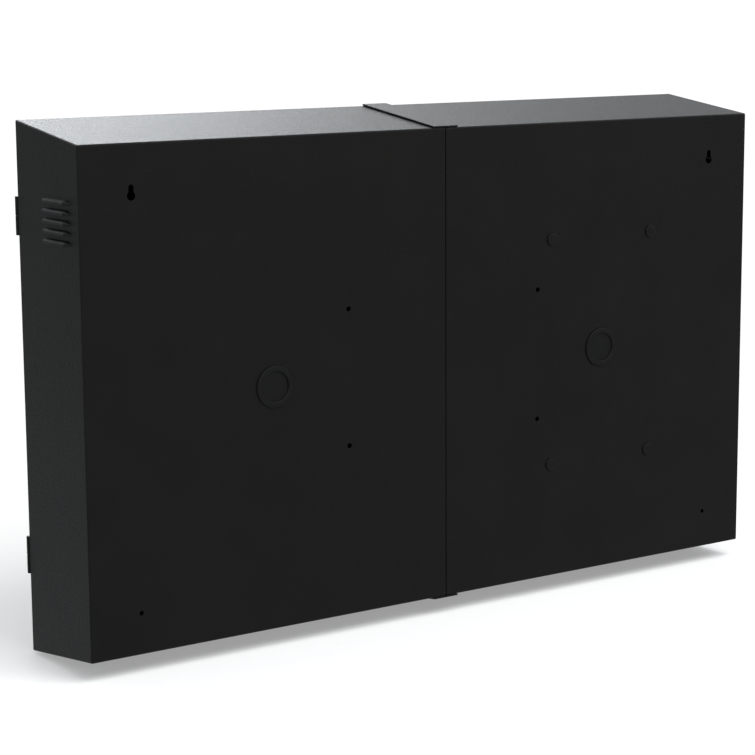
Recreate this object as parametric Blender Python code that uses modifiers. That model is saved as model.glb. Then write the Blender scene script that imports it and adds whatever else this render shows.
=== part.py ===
"""Wide two-bay wall safe: two folded steel boxes side by side, each with its own door, boltwork and lock.

Metres, +Z up. The rear faces lie in the plane y = 0, the doors face -Y, and +X is to the right as seen
from the front. z = 0 is at mid height and x = 0 is the seam between the two boxes. The right-hand half is
modelled and the left-hand half is its mirror image.
"""

import math

import bmesh
import bpy
from mathutils import Matrix, Vector

# Driving dimensions of the boxes.
BAY_WIDTH = 0.7017
REAR_HALF_HEIGHT = 0.41275
FLARE = 0.1396  # rise of the top and fall of the bottom per metre of depth towards the front
FRAME_Y = -0.2159  # front face of the door frame
SHEET = 0.0019
BEND_RADIUS = 0.0024
SEAM_HALF_GAP = 0.00015
FRAME_WIDTH = 0.025
LIP_DEPTH = 0.018
GAP = 0.0003  # between pieces that touch
EDGE_BREAK = 0.0006  # broken edge of bars and shanks

# Holes in the rear faces.
STUD_PITCH = 0.4064
KEYHOLE_X = 1.5 * STUD_PITCH
KEYHOLE_Z = 0.3299
KEYHOLE_RADIUS = 0.0075
KEYHOLE_SLOT_HALF = 0.0046
KEYHOLE_SLOT_RISE = 0.0133  # from the round hole's centre to the slot's end centre
LOWER_HOLE_Z = -0.3438
LOWER_HOLE_RADIUS = 0.0040
MIDDLE_HOLE_Z = 0.1173
MIDDLE_HOLE_RADIUS = 0.0045

# Louvres in the outer side walls. Each hood is pressed out above a slit and is open downwards.
LOUVRE_COUNT = 5
LOUVRE_PITCH = 0.0161
LOUVRE_TOP_Z = 0.3195
LOUVRE_LENGTH = 0.1016
LOUVRE_Y = -0.0763
LOUVRE_PROUD = 0.0080
LOUVRE_HALF_HEIGHT = 0.0065
LOUVRE_END = 0.0145  # length over which a hood's ends slope back to the wall
LOUVRE_WALL = 0.0014
LOUVRE_LOWER_EDGE = 0.0014  # below the hood's middle
LOUVRE_SILL = 0.0014  # above the hood's middle, so that no light passes straight through

# Cable plugs.
PLUG_RADIUS = 0.0353
PLUG_INNER_RADIUS = 0.0260
PLUG_HOLE_RADIUS = 0.0300
PLUG_PROUD = 0.0030
PLUG_ROUND = 0.0012
PLUG_FLOOR_Y = -0.0005
PLUG_WALL = 0.0018
PLUG_CATCH = 0.0015
PLUG_DEPTH = 0.0060

# Inner plate of the left bay, and bolts.
PLATE_BOLT_X = 0.1157  # from the bay's middle
PLATE_BOLT_Z = 0.2050
PLATE_MARGIN = 0.0200
PLATE_STAND_OFF = 0.0120
BOLT_RADIUS = 0.0040
BOLT_HOLE_RADIUS = 0.0044
BOLT_OVERRUN = 0.0020  # of the shank past its nut
HEAD_RADIUS = 0.0116
HEAD_HEIGHT = 0.0024
HEAD_ROUND = 0.0011
NUT_RADIUS = 0.0075
NUT_HEIGHT = 0.0065
HEX_HEAD_HEIGHT = 0.0053
SEAM_BOLT_Y = -0.1000
SEAM_BOLT_Z = 0.3000

# Joiner strips over the seam.
JOINER_WIDTH = 0.0508
JOINER_THICKNESS = 0.0030
JOINER_EDGE_BREAK = 0.0004

# Doors. Each lies in front of its frame, and its edges turn back towards the frame.
DOOR_THICKNESS = 0.0075
DOOR_SHEET = 0.0019
DOOR_RETURN_GAP = 0.0006
DOOR_HALF_HEIGHT = 0.4390
DOOR_MEETING_INSET = 0.0015
PAN_CLEARANCE = 0.0040
PAN_REACH = 0.0170  # behind the frame's front face
PAN_BORDER = 0.0220
PAN_SHEET = 0.0015
SEAL_SETBACK = 0.0008
SEAL_WIDTH = 0.0050

# Hinges. Two barrels on a pin, one welded to the frame and the one above it welded to the door's edge.
HINGE_RADIUS = 0.0045
HINGE_X = BAY_WIDTH - 0.0027
HINGE_UPPER_Z = 0.2874
HINGE_LOWER_Z = -0.2783
HINGE_HALF_LENGTH = 0.03175
HINGE_END_WALL = 0.0040
HINGE_EDGE_BREAK = 0.0007
PIN_RADIUS = 0.0025
PIN_CLEARANCE = 0.0002

# Boltwork. The cam turns a quarter turn and its spiral slots drive three bolts straight out.
HANDLE_X = 0.0950
CAM_RADIUS = 0.0360
CAM_THICKNESS = 0.0030
CAM_TURN = math.pi / 2
DRIVE_PIN_RADIUS = 0.0025
DRIVE_PIN_START = 0.0140
BOLT_TRAVEL = 0.0150
SLOT_HALF = 0.0029
ROD_SETBACK = 0.0035  # from the frame's front face
ROD_THICKNESS = 0.0050
ROD_HALF_WIDTH = 0.0060
SIDE_BOLT_HALF_WIDTH = 0.0100
ROD_CLEARANCE = 0.0007
ROD_END_INSET = 0.0025  # from the opening's edge
SIDE_BOLT_TIP_X = 0.0270
GUIDE_Z = 0.3000
GUIDE_HALF_WIDTH = 0.0180
GUIDE_HALF_HEIGHT = 0.0070
GUIDE_REACH = 0.0110  # behind the frame's front face
GUIDE_EDGE_BREAK = 0.0010
SPINDLE_HALF = 0.0040
SPINDLE_HOLE_RADIUS = 0.0065
SPINDLE_EDGE_BREAK = 0.0004
SPINDLE_OVERRUN = 0.0010  # behind the cam and into the rods' depth

# Lever handle.
HUB_CLEARANCE = 0.0005
HUB_RADIUS = 0.0180
HUB_ROUND = 0.0015
HUB_RIM = 0.0050
HUB_NECK_RADIUS = 0.0130
HUB_NECK_START = 0.0085
LEVER_STAND_OFF = 0.0170
LEVER_THICKNESS = 0.0100
LEVER_HALF_HEIGHT = 0.0100
LEVER_TAIL = 0.0170
LEVER_REACH = 0.1100
LEVER_ROUND = 0.0042
LEVER_POCKET = 0.0030  # depth of the spindle's seat in the lever

# Key lock. Its tongue swings into a scallop in the cam's rim.
LOCK_ANGLE = math.radians(55)
LOCK_DISTANCE = 0.0580
TONGUE_REACH = 0.0270
TONGUE_HALF_WIDTH = 0.0040
TONGUE_HUB_RADIUS = 0.0090
SCALLOP_RADIUS = 0.0278
BARREL_RADIUS = 0.0095
BARREL_SETBACK = 0.0008  # from the tongue's face
FLANGE_RADIUS = 0.0140
FLANGE_HEIGHT = 0.0030
FLANGE_ROUND = 0.0011
LOCK_PLUG_RADIUS = 0.0062
LOCK_PLUG_PROUD = 0.0004
SPIGOT_RADIUS = 0.0040
SPIGOT_OVERRUN = 0.0010
KEY_SLOT_HALF_WIDTH = 0.0011
KEY_SLOT_HALF_HEIGHT = 0.0042
KEY_SLOT_DEPTH = 0.0040

# Values worked out from those above.
BAY_MIDDLE = BAY_WIDTH / 2
OPENING_NEAR_X = SEAM_HALF_GAP + FRAME_WIDTH
OPENING_FAR_X = BAY_WIDTH - FRAME_WIDTH
FRAME_HALF_HEIGHT = REAR_HALF_HEIGHT - FLARE * FRAME_Y
OPENING_HALF_HEIGHT = FRAME_HALF_HEIGHT - FRAME_WIDTH
FRONT_Y = FRAME_Y - DOOR_THICKNESS  # front face of the doors
SKIN_BACK_Y = FRONT_Y + DOOR_SHEET
PAN_BACK_Y = FRAME_Y + PAN_REACH
HINGE_Y = FRAME_Y - GAP - HINGE_RADIUS
CAM_FRONT_Y = FRAME_Y
CAM_BACK_Y = CAM_FRONT_Y + CAM_THICKNESS
ROD_FRONT_Y = FRAME_Y + ROD_SETBACK
ROD_BACK_Y = ROD_FRONT_Y + ROD_THICKNESS
ROD_END_Z = OPENING_HALF_HEIGHT - ROD_END_INSET
LOCK_X = HANDLE_X + LOCK_DISTANCE * math.cos(LOCK_ANGLE)
LOCK_Z = LOCK_DISTANCE * math.sin(LOCK_ANGLE)


# ---------------------------------------------------------------- scene and materials


def clear_scene():
    for obj in list(bpy.data.objects):
        bpy.data.objects.remove(obj, do_unlink=True)


def new_collection(name):
    group = bpy.data.collections.new(name)
    bpy.context.scene.collection.children.link(group)
    return group


def new_material(name, colour, roughness, metallic):
    made = bpy.data.materials.new(name)
    made.use_nodes = True
    shader = made.node_tree.nodes["Principled BSDF"]
    shader.inputs["Base Color"].default_value = (*colour, 1.0)
    shader.inputs["Roughness"].default_value = roughness
    shader.inputs["Metallic"].default_value = metallic
    return made


clear_scene()
SAFE = new_collection("wall_safe")
HELPERS = new_collection("cutters")
PAINT = new_material("black_powder_coat", (0.012, 0.012, 0.011), 0.45, 0.0)
STEEL = new_material("zinc_steel", (0.55, 0.56, 0.58), 0.35, 1.0)
CHROME = new_material("satin_chrome", (0.72, 0.73, 0.75), 0.22, 1.0)
RUBBER = new_material("seal_rubber", (0.02, 0.02, 0.02), 0.80, 0.0)
PLASTIC = new_material("black_plastic", (0.014, 0.014, 0.013), 0.50, 0.0)
NYLON = new_material("guide_nylon", (0.75, 0.74, 0.70), 0.55, 0.0)


# ---------------------------------------------------------------- modelling tools


def helper(mesh):
    """A hidden object that holds a mesh while a modifier works on it."""
    obj = bpy.data.objects.new("helper", mesh)
    obj.hide_render = True
    obj.display_type = "WIRE"
    HELPERS.objects.link(obj)
    return obj


def finished(obj):
    """The object's mesh with its modifiers applied, in world space. The object is removed."""
    bpy.context.view_layer.update()
    graph = bpy.context.evaluated_depsgraph_get()
    mesh = bpy.data.meshes.new_from_object(obj.evaluated_get(graph))
    mesh.transform(obj.matrix_world)
    bpy.data.objects.remove(obj, do_unlink=True)
    return mesh


def combined(base, tool, operation):
    """Boolean of two closed meshes."""
    target = helper(base)
    other = helper(tool)
    modifier = target.modifiers.new("combine", "BOOLEAN")
    modifier.solver = "EXACT"
    modifier.operation = operation
    modifier.object = other
    result = finished(target)
    bpy.data.objects.remove(other, do_unlink=True)
    return result


def joined(base, *others):
    for other in others:
        base = combined(base, other, "UNION")
    return base


def cut(base, *tools):
    for tool in tools:
        base = combined(base, tool, "DIFFERENCE")
    return base


def from_bmesh(shape):
    mesh = bpy.data.meshes.new("shape")
    shape.to_mesh(mesh)
    shape.free()
    return mesh


def box_shape(low, high):
    low, high = Vector(low), Vector(high)
    shape = bmesh.new()
    bmesh.ops.create_cube(shape, size=1.0)
    bmesh.ops.scale(shape, vec=high - low, verts=shape.verts)
    bmesh.ops.translate(shape, vec=(high + low) / 2, verts=shape.verts)
    return shape


def box(low, high, bevel=0.0, segments=1):
    shape = box_shape(low, high)
    if bevel:
        bmesh.ops.bevel(
            shape, geom=shape.edges[:], offset=bevel, segments=segments, profile=0.5, affect="EDGES"
        )
    return from_bmesh(shape)


def turn_to(axis):
    """Rotation that turns +Z to the named axis."""
    turns = {
        "Z": Matrix.Identity(4),
        "Y": Matrix.Rotation(-math.pi / 2, 4, "X"),
        "X": Matrix.Rotation(math.pi / 2, 4, "Y"),
    }
    return turns[axis]


def rod(centre, axis, radius, length, sides=24):
    """Cylinder, or a prism with few sides, centred on a point."""
    shape = bmesh.new()
    bmesh.ops.create_cone(
        shape, cap_ends=True, segments=sides, radius1=radius, radius2=radius, depth=length
    )
    bmesh.ops.transform(shape, matrix=Matrix.Translation(centre) @ turn_to(axis), verts=shape.verts)
    return from_bmesh(shape)


def turned(profile, centre, axis, sides=32):
    """Solid of revolution. The profile's points are (radius, height), down its outer side."""
    shape = bmesh.new()
    points = [shape.verts.new((radius, 0.0, height)) for radius, height in profile]
    for first, second in zip(points, points[1:]):
        shape.edges.new((first, second))
    obj = helper(from_bmesh(shape))
    screw = obj.modifiers.new("turn", "SCREW")
    screw.axis = "Z"
    screw.steps = sides
    screw.render_steps = sides
    screw.use_merge_vertices = True
    screw.merge_threshold = 0.00001
    screw.use_normal_calculate = False
    obj.matrix_world = Matrix.Translation(centre) @ turn_to(axis)
    return finished(obj)


def circle_points(x, z, radius, sides=20):
    turn = math.tau / sides
    return [(x + radius * math.cos(i * turn), z + radius * math.sin(i * turn)) for i in range(sides)]


def rectangle_points(low_x, low_z, high_x, high_z):
    return [(low_x, low_z), (high_x, low_z), (high_x, high_z), (low_x, high_z)]


def plate(outlines, front_y, back_y):
    """Flat plate normal to Y. The first outline is its edge and the others are holes, as (x, z) points."""
    curve = bpy.data.curves.new("outline", "CURVE")
    curve.dimensions = "2D"
    curve.fill_mode = "BOTH"
    curve.extrude = (back_y - front_y) / 2
    for outline in outlines:
        spline = curve.splines.new("POLY")
        spline.points.add(len(outline) - 1)
        for point, (x, z) in zip(spline.points, outline):
            point.co = (x, z, 0.0, 1.0)
        spline.use_cyclic_u = True
    obj = bpy.data.objects.new("outline", curve)
    HELPERS.objects.link(obj)
    middle = Vector((0.0, (front_y + back_y) / 2, 0.0))
    obj.matrix_world = Matrix.Translation(middle) @ Matrix.Rotation(math.pi / 2, 4, "X")
    mesh = finished(obj)
    shape = bmesh.new()
    shape.from_mesh(mesh)
    bmesh.ops.remove_doubles(shape, verts=shape.verts, dist=0.00001)
    bmesh.ops.recalc_face_normals(shape, faces=shape.faces)
    return from_bmesh(shape)


def sheet_metal(shape, thickness, bend):
    """Folded sheet: an open surface whose edges are bent and whose thickness goes inwards."""
    obj = helper(from_bmesh(shape))
    folds = obj.modifiers.new("folds", "BEVEL")
    folds.limit_method = "ANGLE"
    folds.angle_limit = math.radians(30)
    folds.width = bend
    folds.segments = 2
    skin = obj.modifiers.new("sheet", "SOLIDIFY")
    skin.thickness = thickness
    skin.offset = -1.0
    skin.use_even_offset = True
    return finished(obj)


def mirrored(mesh):
    """Mirror image across the seam plane."""
    copy = mesh.copy()
    copy.transform(Matrix.Scale(-1.0, 4, (1.0, 0.0, 0.0)))
    copy.flip_normals()
    return copy


def moved(mesh, offset):
    copy = mesh.copy()
    copy.transform(Matrix.Translation(offset))
    return copy


def joint_axis(name, place, parent=None):
    """Empty on a joint's axis, which the moving pieces are parented to."""
    empty = bpy.data.objects.new(name, None)
    empty.empty_display_size = 0.03
    SAFE.objects.link(empty)
    empty.parent = parent
    empty.location = Vector(place) - world_place(parent)
    return empty


def world_place(obj):
    place = Vector((0.0, 0.0, 0.0))
    while obj is not None:
        place = place + obj.location
        obj = obj.parent
    return place


def add_part(name, mesh, finish, origin=(0.0, 0.0, 0.0), parent=None):
    """Makes a world-space mesh into a named part whose origin is the given point."""
    origin = Vector(origin)
    mesh.transform(Matrix.Translation(-origin))
    mesh.name = name
    mesh.materials.clear()
    mesh.materials.append(finish)
    mesh.shade_smooth()
    mesh.set_sharp_from_angle(angle=math.radians(35))
    obj = bpy.data.objects.new(name, mesh)
    SAFE.objects.link(obj)
    obj.parent = parent
    obj.location = origin - world_place(parent)
    return obj


def add_pair(name, mesh, finish, origin=(0.0, 0.0, 0.0), parents=(None, None)):
    """The piece on the right-hand bay and its mirror image on the left-hand bay."""
    left_mesh = mirrored(mesh)
    add_part("right_" + name, mesh, finish, origin, parents[0])
    add_part("left_" + name, left_mesh, finish, (-origin[0], origin[1], origin[2]), parents[1])


# ---------------------------------------------------------------- the two boxes


def flared_box():
    """Closed box of one bay, taller at the front than at the rear."""
    low = (SEAM_HALF_GAP, FRAME_Y, -REAR_HALF_HEIGHT)
    high = (BAY_WIDTH, 0.0, REAR_HALF_HEIGHT)
    shape = box_shape(low, high)
    for vert in shape.verts:
        if vert.co.y < FRAME_Y / 2:
            vert.co.z = math.copysign(FRAME_HALF_HEIGHT, vert.co.z)
    return shape


def front_face(shape):
    shape.normal_update()
    return min(shape.faces, key=lambda face: face.normal.y)


def rear_face(shape):
    shape.normal_update()
    return max(shape.faces, key=lambda face: face.normal.y)


def folded_bay():
    """Folded box with a door frame: its front edges turn inwards, then back as a lip."""
    shape = flared_box()
    front = front_face(shape)
    bmesh.ops.inset_region(shape, faces=[front], thickness=FRAME_WIDTH, use_even_offset=True)
    bmesh.ops.delete(shape, geom=[front], context="FACES_ONLY")
    opening = [edge for edge in shape.edges if edge.is_boundary]
    made = bmesh.ops.extrude_edge_only(shape, edges=opening)["geom"]
    verts = [item for item in made if isinstance(item, bmesh.types.BMVert)]
    bmesh.ops.translate(shape, vec=(0.0, LIP_DEPTH, 0.0), verts=verts)
    bmesh.ops.recalc_face_normals(shape, faces=shape.faces)
    point_outwards(shape)
    return sheet_metal(shape, SHEET, BEND_RADIUS)


def point_outwards(shape):
    """Turns an open box's faces round if its rear wall faces forwards."""
    rear = max(shape.faces, key=lambda face: face.calc_center_median().y)
    if rear.normal.y < 0:
        bmesh.ops.reverse_faces(shape, faces=shape.faces)


def louvre_body(middle_z, half_height, proud, length):
    """Long half-round bulge with sloping ends, through both sides of the wall."""
    end = length / 2
    shoulder = end - LOUVRE_END
    profile = [(0.0, end), (half_height, shoulder), (half_height, -shoulder), (0.0, -end)]
    whole = turned(profile, (0.0, 0.0, 0.0), "Y", 20)
    whole.transform(Matrix.Scale(proud / half_height, 4, (1.0, 0.0, 0.0)))
    whole.transform(Matrix.Translation((BAY_WIDTH, LOUVRE_Y, middle_z)))
    return whole


def with_louvres(bay):
    """Presses the hoods out of the side wall. Behind each, the wall is open from a sill upwards."""
    inner_wall = box(
        (BAY_WIDTH - 5 * SHEET, LOUVRE_Y - LOUVRE_LENGTH, 0.0),
        (BAY_WIDTH - SHEET / 2, LOUVRE_Y + LOUVRE_LENGTH, REAR_HALF_HEIGHT),
    )
    for number in range(LOUVRE_COUNT):
        middle_z = LOUVRE_TOP_Z - number * LOUVRE_PITCH
        below = box(
            (BAY_WIDTH - LOUVRE_LENGTH, LOUVRE_Y - LOUVRE_LENGTH, middle_z - LOUVRE_LENGTH),
            (BAY_WIDTH + LOUVRE_LENGTH, LOUVRE_Y + LOUVRE_LENGTH, middle_z - LOUVRE_LOWER_EDGE),
        )
        sill = box(
            (BAY_WIDTH - 5 * SHEET, LOUVRE_Y - LOUVRE_LENGTH, middle_z - LOUVRE_LENGTH),
            (BAY_WIDTH, LOUVRE_Y + LOUVRE_LENGTH, middle_z + LOUVRE_SILL),
        )
        hood = louvre_body(middle_z, LOUVRE_HALF_HEIGHT, LOUVRE_PROUD, LOUVRE_LENGTH)
        hollow = louvre_body(
            middle_z,
            LOUVRE_HALF_HEIGHT - LOUVRE_WALL,
            LOUVRE_PROUD - LOUVRE_WALL,
            LOUVRE_LENGTH - 2 * LOUVRE_WALL,
        )
        bay = joined(bay, cut(hood, below.copy(), inner_wall.copy()))
        bay = cut(bay, cut(hollow, below, sill))
    return bay


def keyhole_cutter():
    """Round hole with a slot above it, for hanging on a screw head."""
    start = math.asin(KEYHOLE_SLOT_HALF / KEYHOLE_RADIUS)
    steps = 20
    points = []
    for i in range(steps + 1):
        angle = math.pi / 2 + start + (math.tau - 2 * start) * i / steps
        points.append((KEYHOLE_RADIUS * math.cos(angle), KEYHOLE_RADIUS * math.sin(angle)))
    for i in range(9):
        angle = math.pi * i / 8
        rise = KEYHOLE_SLOT_RISE + KEYHOLE_SLOT_HALF * math.sin(angle)
        points.append((KEYHOLE_SLOT_HALF * math.cos(angle), rise))
    placed = [(KEYHOLE_X + x, KEYHOLE_Z + z) for x, z in points]
    return plate([placed], -4 * SHEET, 4 * SHEET)


def rear_hole(x, z, radius, sides=16):
    return rod((x, 0.0, z), "Y", radius, 8 * SHEET, sides)


def bolt_windows():
    """Windows in the frame's lips that the three bolts shoot through."""
    front = ROD_FRONT_Y - ROD_CLEARANCE
    back = ROD_BACK_Y + ROD_CLEARANCE
    half = ROD_HALF_WIDTH + ROD_CLEARANCE
    side_half = SIDE_BOLT_HALF_WIDTH + ROD_CLEARANCE
    reach = 2 * SHEET
    windows = []
    for sign in (-1, 1):
        edge = sign * OPENING_HALF_HEIGHT
        windows.append(box((HANDLE_X - half, front, edge - reach), (HANDLE_X + half, back, edge + reach)))
    windows.append(
        box((OPENING_NEAR_X - reach, front, -side_half), (OPENING_NEAR_X + reach, back, side_half))
    )
    return windows


def seam_bolt_places():
    return [(SEAM_BOLT_Y, -SEAM_BOLT_Z), (SEAM_BOLT_Y, SEAM_BOLT_Z)]


def make_bays():
    bay = with_louvres(folded_bay())
    bay = cut(bay, keyhole_cutter(), rear_hole(KEYHOLE_X, LOWER_HOLE_Z, LOWER_HOLE_RADIUS))
    for sign in (-1, 1):
        bay = cut(bay, rear_hole(STUD_PITCH / 2, sign * MIDDLE_HOLE_Z, MIDDLE_HOLE_RADIUS))
    bay = cut(bay, rear_hole(BAY_MIDDLE, 0.0, PLUG_HOLE_RADIUS, 32), *bolt_windows())
    for y, z in seam_bolt_places():
        bay = cut(bay, rod((0.0, y, z), "X", BOLT_HOLE_RADIUS, 8 * SHEET, 16))
    left = mirrored(bay)
    for x, z in plate_bolt_places():
        left = cut(left, rear_hole(x, z, BOLT_HOLE_RADIUS))
    add_part("right_bay_shell", bay, PAINT, (BAY_MIDDLE, 0.0, 0.0))
    add_part("left_bay_shell", left, PAINT, (-BAY_MIDDLE, 0.0, 0.0))


def make_joiners():
    """Cover strips on the sloping top and bottom, cut off flush with the rear face."""
    for name, sign in (("top_joiner", 1), ("bottom_joiner", -1)):
        near = REAR_HALF_HEIGHT + GAP
        shape = box_shape(
            (-JOINER_WIDTH / 2, FRAME_Y, near), (JOINER_WIDTH / 2, 0.0, near + JOINER_THICKNESS)
        )
        bmesh.ops.bevel(
            shape,
            geom=shape.edges[:],
            offset=JOINER_EDGE_BREAK,
            segments=1,
            profile=0.5,
            affect="EDGES",
        )
        for vert in shape.verts:
            vert.co.z = sign * (vert.co.z - FLARE * vert.co.y)
        bmesh.ops.recalc_face_normals(shape, faces=shape.faces)
        add_part(name, from_bmesh(shape), PAINT, (0.0, 0.0, sign * REAR_HALF_HEIGHT))


def make_cable_plugs():
    """Snap-in plug of the cable entry: a raised rim around a recessed closed middle."""
    hub = PLUG_HOLE_RADIUS - GAP
    inner_hub = hub - PLUG_WALL
    floor_back = PLUG_FLOOR_Y - PLUG_WALL
    catch_y = -SHEET - GAP
    profile = [
        (0.0, PLUG_FLOOR_Y),
        (PLUG_INNER_RADIUS - PLUG_ROUND / 2, PLUG_FLOOR_Y),
        (PLUG_INNER_RADIUS, PLUG_PROUD - PLUG_ROUND),
        (PLUG_INNER_RADIUS + PLUG_ROUND, PLUG_PROUD),
        (PLUG_RADIUS - PLUG_ROUND, PLUG_PROUD),
        (PLUG_RADIUS, PLUG_PROUD - PLUG_ROUND),
        (PLUG_RADIUS, GAP),
        (hub, GAP),
        (hub, catch_y),
        (hub + PLUG_CATCH, catch_y - PLUG_CATCH / 2),
        (hub, -PLUG_DEPTH),
        (inner_hub, -PLUG_DEPTH),
        (inner_hub, floor_back),
        (0.0, floor_back),
    ]
    mesh = turned(profile, (BAY_MIDDLE, 0.0, 0.0), "Y", 32)
    add_pair("cable_plug", mesh, PLASTIC, (BAY_MIDDLE, 0.0, 0.0))


# ---------------------------------------------------------------- inner plate and fasteners


def plate_bolt_places():
    return [
        (-BAY_MIDDLE + sx * PLATE_BOLT_X, sz * PLATE_BOLT_Z) for sz in (1, -1) for sx in (-1, 1)
    ]


def hexagon_nut(centre, axis):
    shape = rod(centre, axis, NUT_RADIUS, NUT_HEIGHT, 6)
    return cut(shape, rod(centre, axis, BOLT_RADIUS + GAP, 2 * NUT_HEIGHT, 16))


def make_inner_plate():
    """Shallow tray that stands off the left bay's rear wall on its folded edges."""
    half_x = PLATE_BOLT_X + PLATE_MARGIN
    half_z = PLATE_BOLT_Z + PLATE_MARGIN
    face_y = -SHEET - PLATE_STAND_OFF
    low = (-BAY_MIDDLE - half_x, face_y, -half_z)
    high = (-BAY_MIDDLE + half_x, -SHEET - GAP, half_z)
    shape = box_shape(low, high)
    bmesh.ops.delete(shape, geom=[rear_face(shape)], context="FACES_ONLY")
    tray = sheet_metal(shape, SHEET, BEND_RADIUS)
    for x, z in plate_bolt_places():
        tray = cut(tray, rod((x, face_y, z), "Y", BOLT_HOLE_RADIUS, 8 * SHEET, 16))
    add_part("inner_plate", tray, STEEL, (-BAY_MIDDLE, face_y, 0.0))
    for number, (x, z) in enumerate(plate_bolt_places(), 1):
        add_part(f"plate_bolt_{number}", low_head_bolt(x, z, face_y), PAINT, (x, 0.0, z))
        nut_y = face_y - GAP - NUT_HEIGHT / 2
        nut = hexagon_nut((x, nut_y, z), "Y")
        add_part(f"plate_nut_{number}", nut, STEEL, (x, nut_y, z))


def low_head_bolt(x, z, face_y):
    """Bolt with a wide low head on the rear face and a shank through wall and plate."""
    top = GAP + HEAD_HEIGHT
    end = face_y - NUT_HEIGHT - BOLT_OVERRUN
    profile = [
        (0.0, top),
        (HEAD_RADIUS - 2.0 * HEAD_ROUND, top),
        (HEAD_RADIUS - 0.5 * HEAD_ROUND, top - 0.5 * HEAD_ROUND),
        (HEAD_RADIUS, top - 1.5 * HEAD_ROUND),
        (HEAD_RADIUS, GAP),
        (BOLT_RADIUS, GAP),
        (BOLT_RADIUS, end + EDGE_BREAK),
        (BOLT_RADIUS - EDGE_BREAK, end),
        (0.0, end),
    ]
    return turned(profile, (x, 0.0, z), "Y", 16)


def make_seam_bolts():
    """Bolts and nuts that clamp the two boxes together through their middle walls."""
    wall = SEAM_HALF_GAP + SHEET + GAP
    for name, (y, z) in zip(("lower", "upper"), seam_bolt_places()):
        shank_end = -wall - NUT_HEIGHT - BOLT_OVERRUN
        head_middle = wall + HEX_HEAD_HEIGHT / 2
        cap = rod((head_middle, y, z), "X", NUT_RADIUS, HEX_HEAD_HEIGHT, 6)
        length = head_middle - shank_end
        shank = rod((shank_end + length / 2, y, z), "X", BOLT_RADIUS, length, 16)
        add_part(f"{name}_seam_bolt", joined(cap, shank), STEEL, (0.0, y, z))
        nut_x = -wall - NUT_HEIGHT / 2
        add_part(f"{name}_seam_nut", hexagon_nut((nut_x, y, z), "X"), STEEL, (nut_x, y, z))


# ---------------------------------------------------------------- doors


def make_seals():
    """Flat rubber frame between each door and its box."""
    near = OPENING_NEAR_X - SEAL_SETBACK
    far = OPENING_FAR_X + SEAL_SETBACK
    half = OPENING_HALF_HEIGHT + SEAL_SETBACK
    outer = rectangle_points(
        near - SEAL_WIDTH, -half - SEAL_WIDTH, far + SEAL_WIDTH, half + SEAL_WIDTH
    )
    inner = rectangle_points(near, -half, far, half)
    mesh = plate([outer, inner], SKIN_BACK_Y + GAP, FRAME_Y - GAP)
    add_pair("door_seal", mesh, RUBBER, (BAY_MIDDLE, FRAME_Y, 0.0))


def make_door_skins(parents):
    """Outer plate of each door, folded back along its edges, with its spindle and lock holes."""
    low = (DOOR_MEETING_INSET, FRONT_Y, -DOOR_HALF_HEIGHT)
    high = (HINGE_X - HINGE_RADIUS - GAP, FRAME_Y - DOOR_RETURN_GAP, DOOR_HALF_HEIGHT)
    shape = box_shape(low, high)
    bmesh.ops.delete(shape, geom=[rear_face(shape)], context="FACES_ONLY")
    skin = sheet_metal(shape, DOOR_SHEET, BEND_RADIUS)
    through = 4 * DOOR_SHEET
    skin = cut(
        skin,
        rod((HANDLE_X, FRONT_Y, 0.0), "Y", SPINDLE_HOLE_RADIUS, through, 20),
        rod((LOCK_X, FRONT_Y, LOCK_Z), "Y", BARREL_RADIUS + GAP, through, 20),
    )
    add_pair("door_skin", skin, PAINT, (HINGE_X, HINGE_Y, 0.0), parents)


def make_door_pans(parents):
    """Folded frame that stiffens the door from behind, with windows for the three bolts."""
    near = OPENING_NEAR_X + PAN_CLEARANCE
    far = OPENING_FAR_X - PAN_CLEARANCE
    half = OPENING_HALF_HEIGHT - PAN_CLEARANCE
    shape = box_shape((near, SKIN_BACK_Y + GAP, -half), (far, PAN_BACK_Y, half))
    bmesh.ops.delete(shape, geom=[front_face(shape)], context="FACES_ONLY")
    rear = rear_face(shape)
    bmesh.ops.inset_region(shape, faces=[rear], thickness=PAN_BORDER, use_even_offset=True)
    bmesh.ops.delete(shape, geom=[rear], context="FACES_ONLY")
    pan = sheet_metal(shape, PAN_SHEET, BEND_RADIUS)
    low_y = ROD_FRONT_Y - ROD_CLEARANCE
    high_y = ROD_BACK_Y + ROD_CLEARANCE
    slot = ROD_HALF_WIDTH + ROD_CLEARANCE
    side_slot = SIDE_BOLT_HALF_WIDTH + ROD_CLEARANCE
    reach = 2 * PAN_SHEET
    for sign in (-1, 1):
        edge = sign * half
        window = box((HANDLE_X - slot, low_y, edge - reach), (HANDLE_X + slot, high_y, edge + reach))
        pan = cut(pan, window)
    pan = cut(pan, box((near - reach, low_y, -side_slot), (near + reach, high_y, side_slot)))
    add_pair("door_frame", pan, PAINT, (HINGE_X, HINGE_Y, 0.0), parents)


def hinge_barrel(floor, top, sign):
    """Blind barrel about the hinge's middle, open towards it. Its bore ends at the given height."""
    bore = PIN_RADIUS + PIN_CLEARANCE
    edge = HINGE_RADIUS - HINGE_EDGE_BREAK
    profile = [
        (0.0, floor),
        (bore, floor),
        (bore, top),
        (edge, top),
        (HINGE_RADIUS, top - HINGE_EDGE_BREAK),
        (HINGE_RADIUS, -HINGE_HALF_LENGTH + HINGE_EDGE_BREAK),
        (edge, -HINGE_HALF_LENGTH),
        (0.0, -HINGE_HALF_LENGTH),
    ]
    if sign > 0:
        profile = [(radius, -height) for radius, height in reversed(profile)]
    return turned(profile, (HINGE_X, HINGE_Y, 0.0), "Z", 20)


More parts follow.
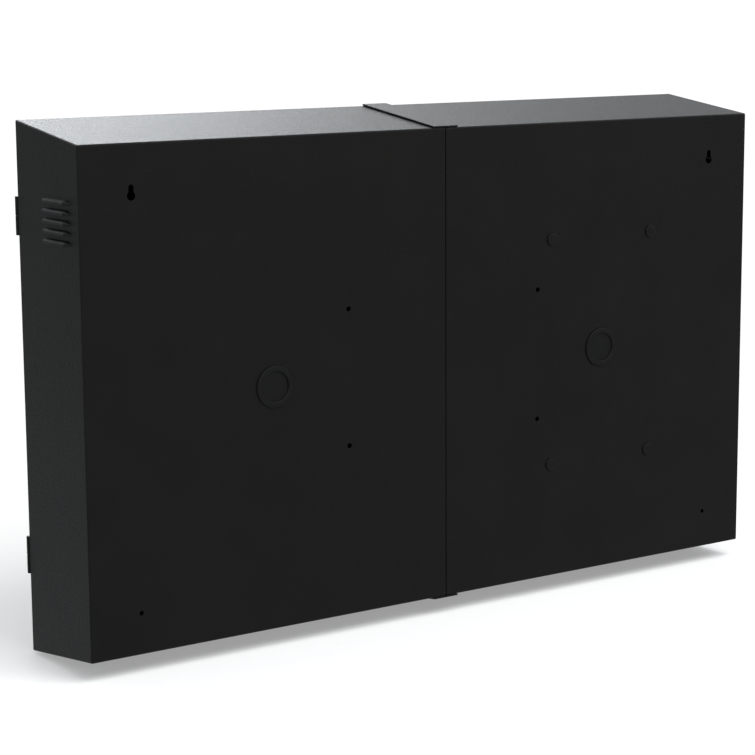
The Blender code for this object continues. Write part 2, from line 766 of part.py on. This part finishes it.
def make_hinges(parents):
    """Two lift-off hinges to each door, standing in front of the box's front corner."""
    floor = -HINGE_HALF_LENGTH + HINGE_END_WALL
    frame_barrel = hinge_barrel(floor, -GAP / 2, -1)
    door_barrel = hinge_barrel(floor, -GAP / 2, 1)
    end = -floor - GAP
    tip = PIN_RADIUS - EDGE_BREAK
    profile = [
        (0.0, end),
        (tip, end),
        (PIN_RADIUS, end - EDGE_BREAK),
        (PIN_RADIUS, EDGE_BREAK - end),
        (tip, -end),
        (0.0, -end),
    ]
    pin = turned(profile, (HINGE_X, HINGE_Y, 0.0), "Z", 16)
    for place, z in (("lower", HINGE_LOWER_Z), ("upper", HINGE_UPPER_Z)):
        offset = (0.0, 0.0, z)
        origin = (HINGE_X, HINGE_Y, z)
        add_pair(f"{place}_hinge_frame_barrel", moved(frame_barrel, offset), PAINT, origin)
        add_pair(f"{place}_hinge_door_barrel", moved(door_barrel, offset), PAINT, origin, parents)
        add_pair(f"{place}_hinge_pin", moved(pin, offset), STEEL, origin)


# ---------------------------------------------------------------- boltwork and lock


def slot_points(start_angle):
    """Outline of a spiral slot whose radius grows evenly with the cam's turn."""
    steps = 9
    centres = []
    for i in range(steps + 1):
        share = i / steps
        radius = DRIVE_PIN_START + BOLT_TRAVEL * share
        angle = start_angle + CAM_TURN * share
        centres.append(Vector((radius * math.cos(angle), radius * math.sin(angle))))
    first = (centres[1] - centres[0]).normalized()
    last = (centres[-1] - centres[-2]).normalized()
    points = [along_side(centres, i, 1) for i in range(steps + 1)]
    points += end_cap(centres[-1], last)
    points += [along_side(centres, i, -1) for i in range(steps, -1, -1)]
    points += end_cap(centres[0], -first)
    return [(HANDLE_X + point.x, point.y) for point in points]


def along_side(centres, i, side):
    before = centres[max(i - 1, 0)]
    after = centres[min(i + 1, len(centres) - 1)]
    along = (after - before).normalized()
    return centres[i] + side * SLOT_HALF * Vector((-along.y, along.x))


def end_cap(centre, along):
    """Round end of a slot, from its left side to its right side as it runs."""
    across = Vector((-along.y, along.x))
    steps = 5
    points = []
    for i in range(1, steps):
        angle = math.pi * i / steps
        points.append(centre + SLOT_HALF * (across * math.cos(angle) + along * math.sin(angle)))
    return points


def cam_rim_points():
    """The cam's round rim with a scallop for the lock's tongue at each end of its turn."""
    sides = 72
    points = []
    for i in range(sides):
        angle = math.tau * i / sides
        radius = CAM_RADIUS
        for scallop in (LOCK_ANGLE, LOCK_ANGLE + CAM_TURN):
            radius = min(radius, scallop_edge(angle - scallop))
        points.append((HANDLE_X + radius * math.cos(angle), radius * math.sin(angle)))
    return points


def scallop_edge(angle):
    """Distance from the cam's centre to a scallop's edge, or the rim's radius past its ends."""
    across = LOCK_DISTANCE * math.sin(angle)
    if math.cos(angle) <= 0 or abs(across) >= SCALLOP_RADIUS:
        return CAM_RADIUS
    return LOCK_DISTANCE * math.cos(angle) - math.sqrt(SCALLOP_RADIUS**2 - across**2)


def make_cams(parents):
    """Disc on the spindle with one spiral slot for each bolt."""
    half = SPINDLE_HALF + GAP
    square = rectangle_points(HANDLE_X - half, -half, HANDLE_X + half, half)
    slots = [slot_points(start) for start in (math.pi / 2, math.pi, 3 * math.pi / 2)]
    mesh = plate([cam_rim_points(), square, *slots], CAM_FRONT_Y, CAM_BACK_Y)
    add_pair("cam_disc", mesh, STEEL, (HANDLE_X, CAM_FRONT_Y, 0.0), parents)


def drive_pin(x, z):
    """Pin that stands on a bolt and reaches forwards through the cam's slot."""
    front = CAM_FRONT_Y - GAP
    back = ROD_FRONT_Y + ROD_THICKNESS / 2
    return rod((x, (front + back) / 2, z), "Y", DRIVE_PIN_RADIUS, back - front, 12)


def make_bolts(top_parents, bottom_parents, side_parents):
    inner = DRIVE_PIN_START / 2
    half = ROD_HALF_WIDTH
    for name, sign, parents in (("top_bolt", 1, top_parents), ("bottom_bolt", -1, bottom_parents)):
        ends = sorted((sign * inner, sign * ROD_END_Z))
        low = (HANDLE_X - half, ROD_FRONT_Y, ends[0])
        high = (HANDLE_X + half, ROD_BACK_Y, ends[1])
        bar = box(low, high, EDGE_BREAK)
        mesh = joined(bar, drive_pin(HANDLE_X, sign * DRIVE_PIN_START))
        add_pair(name, mesh, STEEL, (HANDLE_X, ROD_FRONT_Y, sign * DRIVE_PIN_START), parents)
    low = (SIDE_BOLT_TIP_X, ROD_FRONT_Y, -SIDE_BOLT_HALF_WIDTH)
    high = (HANDLE_X - inner, ROD_BACK_Y, SIDE_BOLT_HALF_WIDTH)
    pin_x = HANDLE_X - DRIVE_PIN_START
    mesh = joined(box(low, high, EDGE_BREAK), drive_pin(pin_x, 0.0))
    add_pair("side_bolt", mesh, STEEL, (pin_x, ROD_FRONT_Y, 0.0), side_parents)


def make_guides(parents):
    """Blocks on the door skin that the long bolts slide through."""
    front = SKIN_BACK_Y + GAP
    back = FRAME_Y + GUIDE_REACH
    half = ROD_HALF_WIDTH + ROD_CLEARANCE
    reach = 2 * GUIDE_HALF_HEIGHT
    for name, sign in (("top_bolt_guide", 1), ("bottom_bolt_guide", -1)):
        z = sign * GUIDE_Z
        block = box(
            (HANDLE_X - GUIDE_HALF_WIDTH, front, z - GUIDE_HALF_HEIGHT),
            (HANDLE_X + GUIDE_HALF_WIDTH, back, z + GUIDE_HALF_HEIGHT),
            GUIDE_EDGE_BREAK,
        )
        low = (HANDLE_X - half, ROD_FRONT_Y - ROD_CLEARANCE, z - reach)
        high = (HANDLE_X + half, ROD_BACK_Y + ROD_CLEARANCE, z + reach)
        add_pair(name, cut(block, box(low, high)), NYLON, (HANDLE_X, SKIN_BACK_Y, z), parents)


def make_handles(parents):
    """Lever on a round hub, and the square spindle that carries the cam."""
    hub_back = FRONT_Y - HUB_CLEARANCE
    lever_back = FRONT_Y - LEVER_STAND_OFF
    neck_end = lever_back - hub_back - GAP
    hub_profile = [
        (0.0, 0.0),
        (HUB_RADIUS - HUB_ROUND, 0.0),
        (HUB_RADIUS, -HUB_ROUND),
        (HUB_RADIUS, -HUB_RIM),
        (HUB_NECK_RADIUS, -HUB_NECK_START),
        (HUB_NECK_RADIUS, neck_end),
        (0.0, neck_end),
    ]
    hub = turned(hub_profile, (HANDLE_X, hub_back, 0.0), "Y", 24)
    lever = box(
        (HANDLE_X - LEVER_TAIL, lever_back - LEVER_THICKNESS, -LEVER_HALF_HEIGHT),
        (HANDLE_X + LEVER_REACH, lever_back, LEVER_HALF_HEIGHT),
        LEVER_ROUND,
        2,
    )
    pocket_half = SPINDLE_HALF + GAP
    spindle_front = lever_back - LEVER_POCKET
    pocket = box(
        (HANDLE_X - pocket_half, spindle_front - GAP, -pocket_half),
        (HANDLE_X + pocket_half, FRONT_Y, pocket_half),
    )
    handle = cut(joined(hub, lever), pocket)
    add_pair("handle", handle, CHROME, (HANDLE_X, FRONT_Y, 0.0), parents)
    spindle = box(
        (HANDLE_X - SPINDLE_HALF, spindle_front, -SPINDLE_HALF),
        (HANDLE_X + SPINDLE_HALF, ROD_FRONT_Y + SPINDLE_OVERRUN, SPINDLE_HALF),
        SPINDLE_EDGE_BREAK,
    )
    add_pair("spindle", spindle, STEEL, (HANDLE_X, FRONT_Y, 0.0), parents)


def make_locks(door_parents, key_parents):
    """Key lock: a barrel fixed in the door skin, a plug that the key turns, and its tongue."""
    bore = LOCK_PLUG_RADIUS + GAP
    barrel_back = CAM_FRONT_Y - BARREL_SETBACK
    flange_front = FRONT_Y - FLANGE_HEIGHT
    barrel_profile = [
        (bore, barrel_back),
        (BARREL_RADIUS, barrel_back),
        (BARREL_RADIUS, FRONT_Y - GAP),
        (FLANGE_RADIUS, FRONT_Y - GAP),
        (FLANGE_RADIUS, flange_front + FLANGE_ROUND),
        (FLANGE_RADIUS - FLANGE_ROUND, flange_front),
        (bore, flange_front),
        (bore, barrel_back),
    ]
    barrel = turned(barrel_profile, (LOCK_X, 0.0, LOCK_Z), "Y", 20)
    add_pair("lock_barrel", barrel, CHROME, (LOCK_X, FRONT_Y, LOCK_Z), door_parents)
    shoulder = CAM_FRONT_Y - GAP
    spigot_end = CAM_BACK_Y + SPIGOT_OVERRUN
    core_front = flange_front - LOCK_PLUG_PROUD
    core_profile = [
        (0.0, spigot_end),
        (SPIGOT_RADIUS, spigot_end),
        (SPIGOT_RADIUS, shoulder),
        (LOCK_PLUG_RADIUS, shoulder),
        (LOCK_PLUG_RADIUS, core_front),
        (0.0, core_front),
    ]
    core = turned(core_profile, (LOCK_X, 0.0, LOCK_Z), "Y", 20)
    slot = box(
        (LOCK_X - KEY_SLOT_HALF_WIDTH, core_front - KEY_SLOT_DEPTH, LOCK_Z - KEY_SLOT_HALF_HEIGHT),
        (LOCK_X + KEY_SLOT_HALF_WIDTH, core_front + KEY_SLOT_DEPTH, LOCK_Z + KEY_SLOT_HALF_HEIGHT),
    )
    add_pair("lock_plug", cut(core, slot), CHROME, (LOCK_X, FRONT_Y, LOCK_Z), key_parents)
    hole = circle_points(LOCK_X, LOCK_Z, SPIGOT_RADIUS + GAP)
    mesh = plate([tongue_points(), hole], CAM_FRONT_Y, CAM_BACK_Y)
    add_pair("lock_tongue", mesh, STEEL, (LOCK_X, CAM_FRONT_Y, LOCK_Z), key_parents)


def tongue_points():
    """Round hub with an arm whose tip is an arc about the lock's axis, a quarter turn off the cam."""
    pointing = LOCK_ANGLE + math.pi + math.pi / 2
    spread = math.asin(TONGUE_HALF_WIDTH / TONGUE_HUB_RADIUS)
    tip = math.asin(TONGUE_HALF_WIDTH / TONGUE_REACH)
    points = []
    for i in range(17):
        angle = spread + (math.tau - 2 * spread) * i / 16
        points.append((TONGUE_HUB_RADIUS, angle))
    for i in range(5):
        points.append((TONGUE_REACH, -tip + 2 * tip * i / 4))
    return [
        (LOCK_X + r * math.cos(pointing + a), LOCK_Z + r * math.sin(pointing + a)) for r, a in points
    ]


# ---------------------------------------------------------------- assembly


def axis_pair(name, place, parents=(None, None)):
    """Joint axes of the same name on the right and left bays."""
    mirror_place = (-place[0], place[1], place[2])
    return (
        joint_axis("right_" + name, place, parents[0]),
        joint_axis("left_" + name, mirror_place, parents[1]),
    )


def main():
    doors = axis_pair("door_axis", (HINGE_X, HINGE_Y, 0.0))
    handles = axis_pair("handle_axis", (HANDLE_X, FRONT_Y, 0.0), doors)
    keys = axis_pair("key_axis", (LOCK_X, FRONT_Y, LOCK_Z), doors)
    top_bolts = axis_pair("top_bolt_axis", (HANDLE_X, ROD_FRONT_Y, DRIVE_PIN_START), doors)
    bottom_bolts = axis_pair("bottom_bolt_axis", (HANDLE_X, ROD_FRONT_Y, -DRIVE_PIN_START), doors)
    side_bolts = axis_pair("side_bolt_axis", (HANDLE_X - DRIVE_PIN_START, ROD_FRONT_Y, 0.0), doors)
    make_bays()
    make_joiners()
    make_cable_plugs()
    make_inner_plate()
    make_seam_bolts()
    make_seals()
    make_door_skins(doors)
    make_door_pans(doors)
    make_hinges(doors)
    make_cams(handles)
    make_handles(handles)
    make_bolts(top_bolts, bottom_bolts, side_bolts)
    make_guides(doors)
    make_locks(doors, keys)


main()
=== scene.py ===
"""Looks of the wide two-bay wall safe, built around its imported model. Metres, in the CAD's own frame."""

import math

import bpy
from mathutils import Matrix, Vector


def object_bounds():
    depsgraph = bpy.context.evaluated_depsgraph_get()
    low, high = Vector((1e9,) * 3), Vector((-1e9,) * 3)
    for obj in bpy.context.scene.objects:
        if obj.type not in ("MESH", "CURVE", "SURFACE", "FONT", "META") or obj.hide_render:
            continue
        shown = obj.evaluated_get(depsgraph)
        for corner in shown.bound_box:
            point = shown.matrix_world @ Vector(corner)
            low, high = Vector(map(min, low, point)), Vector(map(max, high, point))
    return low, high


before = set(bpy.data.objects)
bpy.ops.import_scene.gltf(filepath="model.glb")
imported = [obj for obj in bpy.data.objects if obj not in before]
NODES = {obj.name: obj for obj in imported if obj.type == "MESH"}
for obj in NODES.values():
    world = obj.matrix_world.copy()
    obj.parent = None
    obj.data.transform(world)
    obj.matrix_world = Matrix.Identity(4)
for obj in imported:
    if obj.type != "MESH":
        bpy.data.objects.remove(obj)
CAD_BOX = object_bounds()

# Camera, fitted to the object's outline.
CAMERA_PLACE = Vector((2.2466, 3.0584, 0.6347))
CAMERA_FORWARD = Vector((-0.55808, -0.81217, -0.17006))
CAMERA_ROLL = -0.00645
LENS = 105.322
SENSOR = 36.0
NEAREST = 0.05
FARTHEST = 60.0

# Materials.
EDGE_SOFTNESS = 0.0009  # radius over which shading rounds off folded edges and the flats of turned pieces
EDGE_SAMPLES = 6
NOISE_LOW, NOISE_HIGH = 0.3, 0.7  # most of a noise lies between these
PEBBLE_SCALE = 300.0  # the powder coat's three noises: small pebbles, orange peel and dust
PEBBLE_DEPTH = 0.0008
PEEL_SCALE = 170.0
PEEL_DEPTH = 0.0006
DUST_SCALE = 7.0
MOTTLE_SCALE = 60.0  # of plated metal's patches
PATCH_SCALE = 25.0  # of moulded pieces' patches
FLOOR_GRAIN_SCALE = 30.0

# Floor.
FLOOR_SIZE = 24.0
FLOOR_DROP = 0.0003  # how far it lies below the safe
FLOOR_GLOW = 0.30  # share of its own light that the camera sees close to the safe
FLOOR_FADE = (0.69, 1.45)  # distances from the middle between which that share grows to all

# Studio. Its bands run between two heights, given as sines of elevation, and fade from one strength to another.
BACKGROUND_STRENGTH = 1.05
STUDIO_COLOUR = (0.94, 0.972, 1.0, 1.0)
WHITE = (1.0, 1.0, 1.0, 1.0)
FLOOR_BAND = (-0.32, -0.05)
FLOOR_BAND_STRENGTH = (0.34, 0.19)
CEILING_BAND = (0.0, 0.26)
CEILING_BAND_STRENGTH = (0.0, 0.45)
WINDOW_STRENGTH = 5.9
WINDOW_WAY = (-0.38, -0.87, 0.31)  # from the safe towards the window's middle
WINDOW_FALL = 72.0  # how quickly the window fades away from its middle
LAMP_PLACE = (-0.7, 2.8, 3.8)
LAMP_SIZE = 3.4
LAMP_POWER = 285.0


# ---------------------------------------------------------------- node helpers


class Graph:
    """Short names for building a material's nodes."""

    def __init__(self, name):
        self.material = bpy.data.materials.new(name)
        self.material.use_nodes = True
        self.tree = self.material.node_tree
        self.shader = self.tree.nodes["Principled BSDF"]

    def node(self, kind, **values):
        made = self.tree.nodes.new(kind)
        for key, value in values.items():
            if key in made.inputs:
                made.inputs[key].default_value = value
            else:
                setattr(made, key, value)
        return made

    def link(self, source, target):
        self.tree.links.new(source, target)

    def place(self):
        return self.node("ShaderNodeTexCoord").outputs["Object"]

    def noise(self, place, scale, detail=3.0, roughness=0.6):
        made = self.node("ShaderNodeTexNoise", Scale=scale, Detail=detail, Roughness=roughness)
        self.link(place, made.inputs["Vector"])
        return made.outputs["Fac"]

    def remap(self, value, starts, ends):
        made = self.node("ShaderNodeMapRange")
        made.inputs["From Min"].default_value, made.inputs["From Max"].default_value = starts
        made.inputs["To Min"].default_value, made.inputs["To Max"].default_value = ends
        self.link(value, made.inputs["Value"])
        return made.outputs["Result"]

    def shade(self, noise, colour, darkest, lightest):
        """Base colour that wanders between two shades of one colour."""
        made = self.node("ShaderNodeValToRGB")
        low, high = made.color_ramp.elements
        low.position, high.position = NOISE_LOW, NOISE_HIGH
        low.color = (*(channel * darkest for channel in colour), 1.0)
        high.color = (*(channel * lightest for channel in colour), 1.0)
        self.link(noise, made.inputs["Fac"])
        self.link(made.outputs["Color"], self.shader.inputs["Base Color"])

    def roughen(self, noise, roughness, less, more):
        """Roughness that wanders from a little below its mean to a little above it."""
        wandering = self.remap(noise, (NOISE_LOW, NOISE_HIGH), (roughness - less, roughness + more))
        self.link(wandering, self.shader.inputs["Roughness"])

    def soft_edges(self):
        """Normals rounded off over a small radius, as bent, cast and coated edges are."""
        made = self.node("ShaderNodeBevel", Radius=EDGE_SOFTNESS)
        made.samples = EDGE_SAMPLES
        return made.outputs["Normal"]

    def bump(self, height, distance, strength, below):
        made = self.node("ShaderNodeBump", Strength=strength, Distance=distance)
        self.link(height, made.inputs["Height"])
        self.link(below, made.inputs["Normal"])
        return made.outputs["Normal"]

    def shape(self, normal):
        self.link(normal, self.shader.inputs["Normal"])

    def set(self, socket, value):
        self.shader.inputs[socket].default_value = value


def powder_coat(name, colour, roughness, specular):
    """Fine-textured black powder coat: small soft pebbles over a faint orange peel."""
    g = Graph(name)
    place = g.place()
    pebble = g.noise(place, PEBBLE_SCALE, roughness=0.65)
    peel = g.noise(place, PEEL_SCALE, detail=2.0)
    g.shade(g.noise(place, DUST_SCALE, detail=4.0), colour, darkest=0.82, lightest=1.18)
    g.roughen(pebble, roughness, less=0.05, more=0.06)
    peeled = g.bump(peel, PEEL_DEPTH, strength=0.6, below=g.soft_edges())
    g.shape(g.bump(pebble, PEBBLE_DEPTH, strength=0.8, below=peeled))
    g.set("Specular IOR Level", specular)
    return g.material


def metal(name, colour, roughness, streak_scale, streak_depth):
    """Plated or polished metal with fine streaks, which run along the axis of the smallest scale."""
    g = Graph(name)
    place = g.place()
    stretch = g.node("ShaderNodeMapping")
    stretch.inputs["Scale"].default_value = streak_scale
    g.link(place, stretch.inputs["Vector"])
    streaks = g.noise(stretch.outputs["Vector"], scale=1.0)
    g.shade(g.noise(place, MOTTLE_SCALE), colour, darkest=0.88, lightest=1.0)
    g.set("Metallic", 1.0)
    g.roughen(streaks, roughness, less=0.06, more=0.08)
    g.shape(g.bump(streaks, streak_depth, strength=0.5, below=g.soft_edges()))
    return g.material


def moulded(name, colour, roughness, grain_scale, grain_depth, specular=0.5):
    """Plastic or rubber with the fine grain of its mould."""
    g = Graph(name)
    place = g.place()
    grain = g.noise(place, grain_scale)
    g.shade(g.noise(place, PATCH_SCALE), colour, darkest=0.85, lightest=1.12)
    g.roughen(grain, roughness, less=0.06, more=0.06)
    g.shape(g.bump(grain, grain_depth, strength=0.6, below=g.soft_edges()))
    g.set("Specular IOR Level", specular)
    return g.material


LOOKS = {
    "powder_coat": powder_coat("textured_black", (0.0034, 0.0033, 0.0028), 0.34, specular=0.33),
    "zinc_steel": metal("bright_zinc", (0.62, 0.63, 0.64), 0.30, (300.0, 300.0, 40.0), 0.00002),
    "satin_chrome": metal("satin_chrome", (0.74, 0.75, 0.77), 0.20, (600.0, 60.0, 600.0), 0.00001),
    "seal_rubber": moulded("soft_rubber", (0.012, 0.012, 0.012), 0.72, 1200.0, 0.00005),
    "black_plastic": moulded(
        "moulded_black", (0.0036, 0.0036, 0.0032), 0.40, 1500.0, 0.00003, specular=0.34
    ),
    "guide_nylon": moulded("natural_nylon", (0.72, 0.71, 0.67), 0.50, 1400.0, 0.00003),
}

for node in NODES.values():
    for slot in node.material_slots:
        slot.material = LOOKS[slot.material.name]


# ---------------------------------------------------------------- stage, light and camera


def make_floor():
    """White floor. Seen by the camera it glows a little, so that shadows stay faint, and fades to white."""
    low = CAD_BOX[0].z - FLOOR_DROP
    bpy.ops.mesh.primitive_plane_add(size=FLOOR_SIZE, location=(0.0, 0.0, low))
    floor = bpy.context.object
    floor.name = "floor"
    g = Graph("pale_floor")
    place = g.place()
    g.shade(g.noise(place, FLOOR_GRAIN_SCALE), WHITE[:3], darkest=0.86, lightest=0.88)
    g.set("Roughness", 0.7)
    g.set("Specular IOR Level", 0.1)
    distance = g.node("ShaderNodeVectorMath", operation="LENGTH")
    g.link(place, distance.inputs[0])
    seen = g.node("ShaderNodeMath", operation="MULTIPLY")
    g.link(g.remap(distance.outputs["Value"], FLOOR_FADE, (FLOOR_GLOW, 1.0)), seen.inputs[0])
    g.link(g.node("ShaderNodeLightPath").outputs["Is Camera Ray"], seen.inputs[1])
    glow = g.node("ShaderNodeEmission", Strength=BACKGROUND_STRENGTH)
    mix = g.node("ShaderNodeMixShader")
    g.link(seen.outputs["Value"], mix.inputs["Fac"])
    g.link(g.shader.outputs["BSDF"], mix.inputs[1])
    g.link(glow.outputs["Emission"], mix.inputs[2])
    g.link(mix.outputs["Shader"], g.tree.nodes["Material Output"].inputs["Surface"])
    floor.data.materials.append(g.material)
    floor.visible_glossy = False


def make_lamp():
    """One wide soft lamp, high on the rear's side. It only lights: camera and reflections don't show it."""
    data = bpy.data.lights.new("overhead", "AREA")
    data.shape = "RECTANGLE"
    data.size = data.size_y = LAMP_SIZE
    data.energy = LAMP_POWER
    lamp = bpy.data.objects.new("overhead", data)
    bpy.context.scene.collection.objects.link(lamp)
    lamp.location = LAMP_PLACE
    lamp.rotation_mode = "QUATERNION"
    lamp.rotation_quaternion = (-Vector(LAMP_PLACE)).to_track_quat("-Z", "Y")
    lamp.visible_camera = False
    lamp.visible_glossy = False


def make_world():
    """White behind the object. For light and reflections, a dim studio with one soft window."""
    world = bpy.data.worlds.new("studio")
    world.use_nodes = True
    tree = world.node_tree
    tree.nodes.clear()

    def add(kind, **values):
        made = tree.nodes.new(kind)
        for key, value in values.items():
            setattr(made, key, value)
        return made

    def mapped(source, starts, ends):
        made = add("ShaderNodeMapRange", interpolation_type="SMOOTHSTEP")
        tree.links.new(source, made.inputs["Value"])
        made.inputs["From Min"].default_value, made.inputs["From Max"].default_value = starts
        made.inputs["To Min"].default_value, made.inputs["To Max"].default_value = ends
        return made.outputs["Result"]

    def combined(operation, first, second):
        made = add("ShaderNodeMath", operation=operation)
        for socket, value in zip(made.inputs, (first, second)):
            if isinstance(value, float):
                socket.default_value = value
            else:
                tree.links.new(value, socket)
        return made.outputs["Value"]

    def background(colour):
        made = add("ShaderNodeBackground")
        made.inputs["Color"].default_value = colour
        return made

    way = add("ShaderNodeTexCoord").outputs["Generated"]
    parts = add("ShaderNodeSeparateXYZ")
    tree.links.new(way, parts.inputs["Vector"])
    facing = add("ShaderNodeVectorMath", operation="DOT_PRODUCT")
    tree.links.new(way, facing.inputs[0])
    facing.inputs[1].default_value = Vector(WINDOW_WAY).normalized()
    ahead = combined("MAXIMUM", facing.outputs["Value"], 0.0)
    window = combined("MULTIPLY", combined("POWER", ahead, WINDOW_FALL), WINDOW_STRENGTH)
    low = mapped(parts.outputs["Z"], FLOOR_BAND, FLOOR_BAND_STRENGTH)
    high = mapped(parts.outputs["Z"], CEILING_BAND, CEILING_BAND_STRENGTH)
    studio = combined("ADD", low, high)
    lit = background(STUDIO_COLOUR)
    tree.links.new(combined("ADD", window, studio), lit.inputs["Strength"])
    seen = background(WHITE)
    seen.inputs["Strength"].default_value = BACKGROUND_STRENGTH
    mix = add("ShaderNodeMixShader")
    tree.links.new(add("ShaderNodeLightPath").outputs["Is Camera Ray"], mix.inputs["Fac"])
    tree.links.new(lit.outputs["Background"], mix.inputs[1])
    tree.links.new(seen.outputs["Background"], mix.inputs[2])
    tree.links.new(mix.outputs["Shader"], add("ShaderNodeOutputWorld").inputs["Surface"])
    bpy.context.scene.world = world


def make_camera():
    data = bpy.data.cameras.new("camera")
    data.sensor_fit = "HORIZONTAL"
    data.sensor_width = SENSOR
    data.lens = LENS
    data.clip_start = NEAREST
    data.clip_end = FARTHEST
    camera = bpy.data.objects.new("camera", data)
    bpy.context.scene.collection.objects.link(camera)
    forward = CAMERA_FORWARD.normalized()
    level = forward.cross(Vector((0.0, 0.0, 1.0))).normalized()
    upright = level.cross(forward)
    right = (level * math.cos(CAMERA_ROLL) + upright * math.sin(CAMERA_ROLL)).normalized()
    up = right.cross(forward)
    turn = Matrix((right, up, -forward)).transposed()
    camera.matrix_world = Matrix.Translation(CAMERA_PLACE) @ turn.to_4x4()
    bpy.context.scene.camera = camera


make_floor()
make_world()
make_lamp()
make_camera()
bpy.context.scene.view_settings.view_transform = "Standard"
